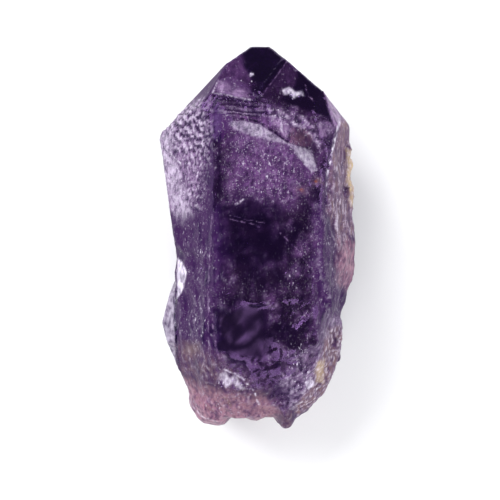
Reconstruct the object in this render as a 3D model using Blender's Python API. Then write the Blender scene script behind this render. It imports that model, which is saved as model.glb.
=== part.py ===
"""A rough amethyst point, 90 mm long, lying on its back prism face with the tip towards +Y.

The crystal is one solid. Its crown is cleaved from a block by flat growth faces, thin growth plates lie on
it, its broken body is lofted between rails that run along the crystal, and shell-shaped breaks are cut by
ellipsoids. The broken skin is then roughened, and the growth faces stay flat.
"""

import math

import bmesh
import bpy
import numpy as np
from mathutils import Matrix, Vector, noise

# All sizes below are in millimetres and degrees.
MM = 0.001
LENGTH = 90.0
BLOCK = 3 * LENGTH
TIP_Y = 44.8
TIP_Z = 24.5
FRONT_Z = 36.0
MERGE = 0.02

# Each face is an azimuth round the crystal's long axis (0 faces up, 90 faces +X), a tilt towards the tip,
# and one point that the face passes through.
CROWN = {
    "tip_left_front": (-4, 35.5, (-1.1, TIP_Y, TIP_Z)),
    "tip_front": (0, 35.7, (0.7, TIP_Y, TIP_Z)),
    "tip_right_front": (10.6, 29.9, (7.2, 40.7, 27.4)),
    "tip_left": (-68.9, 36.2, (-7.2, 40.3, 27.3)),
    "tip_left_back": (-111, 46.5, (-7.2, 40.3, 27.3)),
    "tip_right": (69.4, 22, (14.8, 34.1, 30.0)),
    "tip_right_back": (100, 46, (7.2, 40.7, 27.4)),
    "tip_back": (177, 43, (0, TIP_Y, TIP_Z)),
    "tip_back_left": (-150, 38, (-6, 40.0, 20)),
    "tip_back_right": (140, 40, (9, 38.0, 20)),
    "shoulder_left": (-6, 8, (-0.4, 31.5, 33.6)),
    "shoulder_middle": (4, 6, (6.3, 29.9, 33.5)),
    "shoulder_right": (36, 15, (13.4, 26.0, 33.5)),
    "front_prism": (0.4, 0.2, (0, 10, 35.8)),
    "left_front_prism": (-50.5, -0.4, (-9.7, 12, 35.9)),
    "left_edge": (-93, -8.3, (-22.8, 24, 19.5)),
    "left_back_prism": (-122, -1.5, (-22.5, 24, 19)),
    "right_front_prism": (66, -4, (14.7, 10, 35.3)),
    "right_back_prism": (112, -2, (20.3, 20, 20)),
    "back_prism": (180, 0, (0, 0, 0)),
    "break_left": (-58, -30, (-15.5, -3, 28.6)),
    "break_below": (8, -58, (0, -15, 36)),
    "break_back": (172, -52, (0, -26, 0)),
}
FRONT_PLATE = {
    "face": (-0.5, -0.3, (0, 20, FRONT_Z)),
    "upper_edge": (16, 31, (0, 24.1, FRONT_Z)),
    "upper_edge_left": (-14, 12, (-5.6, 25.7, FRONT_Z)),
    "corner_edge": (27, 23.3, (7.0, 21.4, FRONT_Z)),
    "corner_face": (6, 1, (6.4, 17.6, FRONT_Z)),
    "left": (-51, -0.2, (-9.72, 12, FRONT_Z)),
    "left_tip": (-48, 34, (-9.9, 29.6, 34.4)),
    "right": (60, 2, (14.4, 8, 35.6)),
    "bottom": (5, -24, (0, -11, FRONT_Z)),
    "inside": (180, 0, (0, 0, 32)),
}
SIDE_CRYSTAL = {
    "upper_face": (-96, 15.5, (-22.2, -19.8, 17)),
    "lower_face": (-95, -15.5, (-22.2, -20.0, 17)),
    "front": (-40, 2, (-19.9, -15, 20.2)),
    "back": (172, 0, (-16, 0, 4.6)),
    "left_back": (-128, -3, (-20, -18, 7)),
    "inside": (90, 0, (-10, 0, 10)),
    "top": (-50, 50, (-19.6, -10.2, 16)),
    "foot": (-40, -50, (-19.4, -28.6, 14)),
}

# Growth steps on the crown's left shoulder: how many, the first one's place with its rise over the shoulder, and the
# way to each next one.
TERRACES = 4
TERRACE_TOP = (-0.4, 32.0, 33.76)
TERRACE_STEP = (0.0, -1.15, 0.16)
# The first step's faces, and how much the azimuth and the tilt of each change from a step to the next.
TERRACE_FACES = {
    "left": ((-52, 1, (-9.66, 26, 34.8)), (-1.2, 0.5)),
    "left_tip": ((-45, 30, (-9.26, 32.4, 32.6)), (-2, 0)),
    "right": ((24, 8, (3.4, 28, 33.8)), (3, 1)),
    "bottom": ((0, -52, (0, 21.4, 34.6)), (3, 3)),
    "inside": ((176, 0, (0, 28, 31)), (3, 2)),
}
TERRACE_TREAD = ((-5, 1.5), (0.35, 0.5))
TERRACE_RISER = ((9, 44), (1.4, -2))

# The broken body's corners at their places along the crystal: y, x and z of each point on the rail.
RAILS = {
    "left": [(26.5, -15, 19), (8, -18.6, 22.5), (0, -19.1, 23.2), (-1.8, -18.3, 23.2), (-6.5, -18.9, 23),
             (-11.5, -19.3, 22.5), (-24.4, -19.2, 21), (-29.6, -18.9, 20), (-33.4, -17.0, 19),
             (-36.5, -15.6, 18), (-39.3, -14.7, 17), (-41.6, -13.4, 16)],
    "front_left": [(26.5, -8, 32.5), (10, -9.3, 35.2), (-5, -9.6, 35.5), (-16, -9.8, 35.5), (-23, -10.2, 34.6),
                   (-29, -10.6, 32.8), (-34, -10.5, 30.4), (-38, -10, 27.5), (-41.6, -9, 23.5)],
    "front_right": [(26.5, 16.3, 30.8), (22, 17.4, 32.2), (15, 17.0, 33.4), (5, 16.2, 34.2), (-5, 15.4, 34.7),
                    (-15, 14.6, 34.9), (-24, 13.6, 33.6), (-31, 12.0, 31.0), (-37, 9.5, 27.4),
                    (-41.6, 6.0, 23)],
    "right": [(26.5, 20.4, 20), (25.9, 20.7, 20), (22.8, 21.4, 20), (18.5, 21.7, 20), (14.5, 22.2, 20),
              (9.8, 21.8, 20), (6.7, 21.6, 20), (3.0, 22.2, 20.5), (-3.2, 22.7, 20.5), (-6, 22.8, 20),
              (-9.6, 22.0, 19.5), (-13.1, 20.8, 19), (-18.1, 19.6, 18.5), (-21.4, 18.9, 18), (-23.0, 19.4, 18),
              (-26.6, 18.9, 18), (-29.6, 18.4, 18), (-33.9, 16.8, 17.5), (-37.0, 15.2, 17), (-39.8, 12.2, 16.5),
              (-41.6, 9.0, 16)],
    "low_right": [(26.5, 18.2, 16), (20, 20.4, 12), (0, 21.4, 11), (-12, 20.0, 11.5), (-24, 18.4, 12),
                  (-34, 15.8, 12), (-41.6, 8.4, 13)],
    "back_right": [(26.5, 12, 13), (20, 14.6, 5), (13, 16.0, 1.2), (0, 16.2, 0.7), (-12, 15.0, 0.6),
                   (-22, 13.7, 1.2), (-32, 11.6, 3.4), (-38, 9.0, 6.0), (-41.6, 6, 9.5)],
    "back_left": [(26.5, -9, 13), (20, -11.6, 5), (12, -13.0, 1.2), (0, -13.6, 0.7), (-12, -13.8, 0.6),
                  (-24, -13.2, 1.3), (-33, -11.8, 4.0), (-38, -11.0, 7), (-41.6, -9.2, 10)],
    "low_left": [(26.5, -13, 15), (20, -16.4, 12), (0, -18.0, 11.5), (-12, -18.4, 11.5), (-25, -18.1, 12),
                 (-33, -16.0, 11.5), (-41.6, -12.2, 13)],
}
# Flat breaks that take slices off the body, stated as the crown's faces are.
BODY_BREAKS = {
    "lower_left_face": (-44, -5, (-14.6, -22, 29.2)),
    "right_slope": (40, -3, (16.2, -4, 32.4)),
    "lower_right_face": (58, -30, (15.6, -31.5, 22.5)),
    "foot_front": (14, -44, (2, -36.6, 27.4)),
    "foot_left": (-34, -36, (-10.6, -36.6, 26)),
    "back_right_face": (136, -6, (17.4, -5, 6)),
    "back_left_face": (-140, -8, (-15.8, -20, 6)),
    "back_foot": (176, -38, (0, -35.2, 4.5)),
}
BODY_STATIONS = 32
BODY_EDGE_CUTS = 3

# Swellings that are part of the crystal: centre and half sizes.
LOBES = {
    "left_lobe": ((-10.0, -36.7, 15.5), (5.8, 7.4, 9.8)),
    "middle_lobe": ((-0.7, -37.0, 16.0), (4.2, 5.9, 9.5)),
    "right_spur": ((6.4, -38.0, 18.0), (3.1, 7.0, 6.5)),
}
# Shell-shaped breaks: centre, half sizes, and a turn about +Z.
SCOOPS = {
    "front_hollow": ((-3.7, -21.8, 45.9), (10.5, 12.5, 12.6), -20),
    "foot_hollow": ((-4.2, -33.2, 40.6), (9.0, 7.2, 10.8), -35),
    "middle_hollow": ((8.5, -19.0, 46.4), (10.0, 8.6, 12.6), 30),
    "left_chip": ((-21.4, -9.9, 26.4), (3.2, 5.0, 6.4), 8),
    "left_notch": ((-21.6, -1.9, 18.5), (3.0, 3.0, 10.0), 0),
    "notch_left": ((-5.0, -45.6, 15.0), (2.2, 4.2, 20.0), 8),
    "notch_right": ((3.1, -45.6, 16.0), (1.9, 4.2, 20.0), -8),
    "lower_right_hollow": ((15.4, -31.0, 37.6), (7.5, 8.0, 9.4), -34),
    "right_face_hollow": ((21.8, 4.0, 35.6), (5.6, 9.4, 9.0), -12),
    "stain_pit_left": ((9.9, 10.4, 37.3), (1.5, 1.1, 2.0), 25),
    "stain_pit_right": ((13.2, 12.6, 36.5), (1.4, 1.2, 2.0), -15),
    "back_left_chip": ((-15.0, 10.5, -2.8), (5.5, 9.0, 6.0), 12),
    "back_right_chip": ((17.5, 15.0, -2.6), (5.0, 10.0, 6.4), -8),
    "back_foot_hollow": ((3.0, -37.0, -4.2), (9.5, 8.0, 8.4), 20),
}
# Grains of pale rind on the right edge: the middle of each band, its half sizes, and its count.
RIND_BANDS = {
    "upper_rind": ((21.3, 14.0, 20.6), (0.3, 7.4, 4.4), 22),
    "lower_rind": ((18.7, -24.6, 18.2), (0.3, 5.0, 4.0), 10),
}
GRAIN_RADIUS = (1.0, 1.6)
GRAIN_SEED = 7

# Two kinds of skin, told apart by material slot: growth faces stay flat, and broken skin is made rougher.
GROWTH = 0
BROKEN = 1
ROUGH_EDGE = 3.1
ROUGH_HEIGHT = 0.75
ROUGH_GRAIN = 4.6
ROUGH_PASSES = 3
REST_CLEARANCE = 0.2

AMETHYST = (0.19, 0.08, 0.30, 1.0)


def clear_scene():
    """Removes whatever objects the file opened with."""
    for old in list(bpy.data.objects):
        bpy.data.objects.remove(old, do_unlink=True)


def new_collection(name):
    """A collection linked to the scene."""
    made = bpy.data.collections.new(name)
    bpy.context.scene.collection.children.link(made)
    return made


def face_normal(azimuth, tilt):
    """The outward direction of a face from its azimuth round the long axis and its tilt towards the tip."""
    turn, rise = math.radians(azimuth), math.radians(tilt)
    return Vector((math.sin(turn) * math.cos(rise), math.sin(rise), math.cos(turn) * math.cos(rise)))


def amethyst_material(name):
    """Clear violet quartz."""
    material = bpy.data.materials.new(name)
    material.use_nodes = True
    shader = material.node_tree.nodes["Principled BSDF"]
    shader.inputs["Base Color"].default_value = AMETHYST
    shader.inputs["Roughness"].default_value = 0.22
    shader.inputs["Metallic"].default_value = 0.0
    shader.inputs["IOR"].default_value = 1.544
    shader.inputs["Transmission Weight"].default_value = 0.5
    return material


def object_from(bm, name, collection, skin=GROWTH):
    """A new object that holds the mesh, which is in millimetres, at its real size, with one kind of skin."""
    bmesh.ops.triangulate(bm, faces=bm.faces[:])
    bmesh.ops.recalc_face_normals(bm, faces=bm.faces)
    bm.transform(Matrix.Scale(MM, 4))
    for face in bm.faces:
        face.material_index = skin
    mesh = bpy.data.meshes.new(name)
    bm.to_mesh(mesh)
    bm.free()
    for slot in ("growth", "broken"):
        mesh.materials.append(bpy.data.materials.get(slot) or amethyst_material(slot))
    made = bpy.data.objects.new(name, mesh)
    collection.objects.link(made)
    return made


def cleave(bm, faces):
    """Splits away everything outside each face, and closes the mesh with a flat one."""
    for azimuth, tilt, through in faces.values():
        found = bmesh.ops.bisect_plane(
            bm,
            geom=bm.verts[:] + bm.edges[:] + bm.faces[:],
            dist=1e-4,
            plane_co=Vector(through),
            plane_no=face_normal(azimuth, tilt),
            clear_outer=True,
        )
        rim = [e for e in found["geom_cut"] if isinstance(e, bmesh.types.BMEdge)]
        bmesh.ops.contextual_create(bm, geom=rim)


def cleaved_block(name, faces, collection):
    """A block bounded by its growth faces."""
    bm = bmesh.new()
    bmesh.ops.create_cube(bm, size=BLOCK)
    cleave(bm, faces)
    return object_from(bm, name, collection)


def broken_body(name, rails, breaks, collection):
    """A loft: at each station the rails give a section's corners, its sides are divided, and rings are bridged.

    Flat breaks then take slices off it.
    """
    tables = [np.array(sorted(rail)) for rail in rails.values()]
    low, high = tables[0][0, 0], tables[0][-1, 0]
    bm = bmesh.new()
    rings = []
    for y in np.linspace(low, high, BODY_STATIONS):
        corners = [Vector((np.interp(y, t[:, 0], t[:, 1]), y, np.interp(y, t[:, 0], t[:, 2]))) for t in tables]
        places = [
            a.lerp(b, cut / BODY_EDGE_CUTS)
            for a, b in zip(corners, corners[1:] + corners[:1])
            for cut in range(BODY_EDGE_CUTS)
        ]
        verts = [bm.verts.new(place) for place in places]
        rings.append([bm.edges.new(pair) for pair in zip(verts, verts[1:] + verts[:1])])
    for ring, following in zip(rings, rings[1:]):
        bmesh.ops.bridge_loops(bm, edges=ring + following)
    for end in (rings[0], rings[-1]):
        bmesh.ops.contextual_create(bm, geom=end)
    bmesh.ops.triangulate(bm, faces=bm.faces[:])
    bmesh.ops.recalc_face_normals(bm, faces=bm.faces)
    cleave(bm, breaks)
    return object_from(bm, name, collection, BROKEN)


def ellipsoid(name, centre, half_sizes, collection, skin=BROKEN, turn=0.0, detail=3):
    """A rounded solid from an icosphere, stretched to its half sizes and turned about +Z."""
    bm = bmesh.new()
    bmesh.ops.create_icosphere(bm, subdivisions=detail, radius=1.0)
    stretch = Matrix.Diagonal((*half_sizes, 1.0))
    place = Matrix.Translation(centre) @ Matrix.Rotation(math.radians(turn), 4, "Z")
    bm.transform(place @ stretch)
    return object_from(bm, name, collection, skin)


def growth_terraces(collection):
    """Thin steps on the shoulder, each flatter than the slope that it stands on."""
    made = []
    for step in range(TERRACES):
        at = Vector(TERRACE_TOP) + step * Vector(TERRACE_STEP)
        faces = {
            name: (azimuth + step * turn, tilt + step * lean, through)
            for name, ((azimuth, tilt, through), (turn, lean)) in TERRACE_FACES.items()
        }
        for name, ((azimuth, tilt), (turn, lean)) in (("tread", TERRACE_TREAD), ("riser", TERRACE_RISER)):
            faces[name] = (azimuth + step * turn, tilt + step * lean, at)
        made.append(cleaved_block(f"terrace_{step + 1}", faces, collection))
    return made


def rind_grains(collection):
    """Small rounded grains scattered over each band of rind, in the same places each run."""
    noise.seed_set(GRAIN_SEED)
    made = []
    for band, (centre, spread, count) in RIND_BANDS.items():
        for i in range(count):
            shift = noise.random_vector(size=3)
            at = Vector(c + s * d for c, s, d in zip(centre, spread, shift))
            radius = GRAIN_RADIUS[0] + (GRAIN_RADIUS[1] - GRAIN_RADIUS[0]) * noise.random()
            size = (radius * 0.8, radius * 1.1, radius)
            made.append(ellipsoid(f"{band}_{i + 1}", at, size, collection, detail=1))
    return made


def combine(target, others, operation):
    """Adds one exact Boolean to the target for each of the other solids, which are kept as hidden tools."""
    for other in others:
        other.hide_render = True
        other.display_type = "WIRE"
        modifier = target.modifiers.new(f"{operation.lower()}_{other.name}", "BOOLEAN")
        modifier.operation = operation
        modifier.solver = "EXACT"
        modifier.object = other


def roughen(bm):
    """Divides the broken skin into small triangles and shifts their corners by a smooth random field."""
    for _ in range(ROUGH_PASSES):
        rough = [f for f in bm.faces if f.material_index == BROKEN]
        long_edges = {e for f in rough for e in f.edges if e.calc_length() > ROUGH_EDGE}
        if not long_edges:
            break
        bmesh.ops.subdivide_edges(bm, edges=list(long_edges), cuts=1, use_grid_fill=False)
        bmesh.ops.triangulate(bm, faces=bm.faces[:])
    flat = {v for f in bm.faces if f.material_index == GROWTH for v in f.verts}
    for v in bm.verts:
        if v not in flat:
            v.co += noise.turbulence_vector(v.co / ROUGH_GRAIN, 2, False) * ROUGH_HEIGHT
            v.co.z = max(v.co.z, REST_CLEARANCE)


def stand_at_origin(bm):
    """Puts the middle of the crystal's outline over the origin and its lowest point on Z = 0."""
    low = [min(v.co[i] for v in bm.verts) for i in range(3)]
    high = [max(v.co[i] for v in bm.verts) for i in range(3)]
    shift = Vector((-(low[0] + high[0]) / 2, -(low[1] + high[1]) / 2, -low[2]))
    bmesh.ops.translate(bm, verts=bm.verts[:], vec=shift)


def amethyst_point():
    """The whole crystal as one mesh object."""
    tools = new_collection("cutters")
    shown = new_collection("amethyst_point")
    block = cleaved_block("crown", CROWN, tools)
    grown = [
        broken_body("broken_body", RAILS, BODY_BREAKS, tools),
        cleaved_block("front_plate", FRONT_PLATE, tools),
        cleaved_block("side_crystal", SIDE_CRYSTAL, tools),
    ]
    grown += growth_terraces(tools)
    grown += [ellipsoid(name, centre, size, tools) for name, (centre, size) in LOBES.items()]
    scoops = [
        ellipsoid(name, centre, size, tools, turn=turn)
        for name, (centre, size, turn) in SCOOPS.items()
    ]
    combine(block, grown, "UNION")
    combine(block, scoops, "DIFFERENCE")
    combine(block, rind_grains(tools), "UNION")
    bpy.context.view_layer.update()
    graph = bpy.context.evaluated_depsgraph_get()
    mesh = bpy.data.meshes.new_from_object(block.evaluated_get(graph))
    block.hide_render = True
    block.display_type = "WIRE"

    bm = bmesh.new()
    bm.from_mesh(mesh)
    bm.transform(Matrix.Scale(1 / MM, 4))
    bmesh.ops.triangulate(bm, faces=bm.faces[:])
    bmesh.ops.remove_doubles(bm, verts=bm.verts[:], dist=MERGE)
    roughen(bm)
    stand_at_origin(bm)
    point = object_from(bm, "amethyst_point", shown)
    point.data.materials.clear()
    point.data.materials.append(amethyst_material("amethyst"))
    point.data.shade_flat()
    return point


clear_scene()
amethyst_point()
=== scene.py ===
"""Dresses a rough amethyst point that lies on its back face: growth relief, frost, veils, glints and stains.

Sizes in functions are in millimetres, in the crystal's own frame: +Y runs to the tip and +Z to the camera.
"""

import math

import bpy
import numpy as np
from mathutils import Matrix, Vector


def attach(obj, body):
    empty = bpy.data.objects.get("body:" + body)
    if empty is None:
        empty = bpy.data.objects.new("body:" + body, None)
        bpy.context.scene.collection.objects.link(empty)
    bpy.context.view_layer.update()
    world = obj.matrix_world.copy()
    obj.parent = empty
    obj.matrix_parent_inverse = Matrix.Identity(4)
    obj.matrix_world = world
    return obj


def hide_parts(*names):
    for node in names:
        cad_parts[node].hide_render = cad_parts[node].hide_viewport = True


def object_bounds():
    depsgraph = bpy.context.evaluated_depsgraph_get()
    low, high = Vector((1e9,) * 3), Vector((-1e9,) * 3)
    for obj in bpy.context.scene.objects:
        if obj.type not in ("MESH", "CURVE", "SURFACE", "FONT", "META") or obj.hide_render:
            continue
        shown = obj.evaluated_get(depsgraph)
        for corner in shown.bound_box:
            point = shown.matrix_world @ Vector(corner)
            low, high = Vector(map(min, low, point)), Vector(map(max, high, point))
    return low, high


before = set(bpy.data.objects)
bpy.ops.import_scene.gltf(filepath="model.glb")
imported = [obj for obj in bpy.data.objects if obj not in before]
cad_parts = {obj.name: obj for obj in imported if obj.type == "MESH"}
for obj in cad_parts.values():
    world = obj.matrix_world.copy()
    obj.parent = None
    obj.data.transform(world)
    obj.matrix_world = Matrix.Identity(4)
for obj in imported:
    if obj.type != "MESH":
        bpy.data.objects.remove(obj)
CAD_BOX = [list(corner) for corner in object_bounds()]

bl_info = {
    "name": "Rough amethyst point",
    "version": (1, 0, 0),
    "blender": (4, 5, 0),
    "location": "3D View > Sidebar > Amethyst",
    "description": "Gives a rough amethyst point its growth relief, frost, inner veils, glints and stains",
    "category": "Object",
}

NODE = "amethyst_point"
BODY = "root"
MM = 0.001

# Steps that corners, normals and offsets are rounded to, to find shared corners and shared planes.
WELD = 1e-3
NORMAL_STEP = 0.02
OFFSET_STEP = 0.1

# A growth face has at least that area. Points this close to it, in voxels, that face as it does lie on it.
GROWTH_AREA = 7.0
SNAP_REACH = 0.6
SNAP_COSINE = 0.93

# The skin is finer this close to a line and above that height. Longest edges there and elsewhere, in voxels.
LINE_REACH = 1.2
LINE_LOW = 12.0
FINE_EDGE = 0.75
COARSE_EDGE = 4.0

# Broken skin is smoothed by pairs of passes, inwards and a little more outwards, so that it doesn't shrink.
SMOOTH_PAIRS = 26
SMOOTH_IN = 0.70
SMOOTH_OUT = 0.72

# Weight and number of plain smoothing passes: even skin, share of growth faces, worn edges, and broad relief.
EVEN_PASSES = (0.5, 2)
SHARE_PASSES = (0.5, 6)
WEAR_PASSES = (0.45, 2)
BROAD_PASSES = (0.6, 5)

# Gradient noise: number of directions, the seed of their draw, and a gain that brings it to about -1 to 1.
DIRECTION_COUNT = 1024
DIRECTION_SEED = 5
NOISE_GAIN = 1.6

# Numbers that turn a lattice cell into one that looks random.
HASH_AXES = (73856093, 19349663, 83492791)
HASH_SEED = 2654435761
HASH_SPREAD = 1274126177
HASH_MASK = 0x7FFFFFFF
TEN_BITS = 0x3FF

# How far a patch's border wanders, and where a line fades out, as shares of their widths.
WANDER = 0.25
LINE_FADE = (0.25, 0.75)

# The skin's colours, each with its share of clear light and its roughness. Later ones lie over earlier ones.
FINISHES = {
    # Mauve is haze, and also a painted reflection on the right tip face.
    "mauve": ((0.190, 0.080, 0.250), 0.42, 0.30),
    # Dusk is painted shade: it darkens steep faces, the flanks, the tip's left strip, a shoulder and the fold
    # above the foot.
    "dusk": ((0.036, 0.010, 0.060), 0.05, 0.50),
    "night": ((0.012, 0.001, 0.062), 0.92, 0.08),
    # Lilac is frost, and also painted highlights on some lit faces and edges.
    "lilac": ((0.350, 0.220, 0.410), 0.24, 0.36),
    "rose": ((0.450, 0.220, 0.300), 0.34, 0.36),
    # Umber is stained skin, and also painted shade in the foot's creases.
    "umber": ((0.185, 0.108, 0.118), 0.05, 0.60),
    "straw": ((0.600, 0.460, 0.270), 0.00, 0.80),
    # Silver is etched pale skin, and also painted highlights, glints and sparkles.
    "silver": ((0.760, 0.690, 0.830), 0.06, 0.30),
    "rust": ((0.190, 0.055, 0.025), 0.00, 0.70),
}

BODY_CLEAR = 0.86
BODY_ROUGH = 0.10
HOLLOW_ROUGH = 0.36

# How strongly each finish roughens the fine etch, beside the plain skin's share and the polished skin's loss.
ETCH = {"lilac": 0.60, "mauve": 0.40, "dusk": -0.34}
ETCH_PLAIN = 0.36
ETCH_POLISHED = 0.95
TIP_POLISH = 0.8

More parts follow.
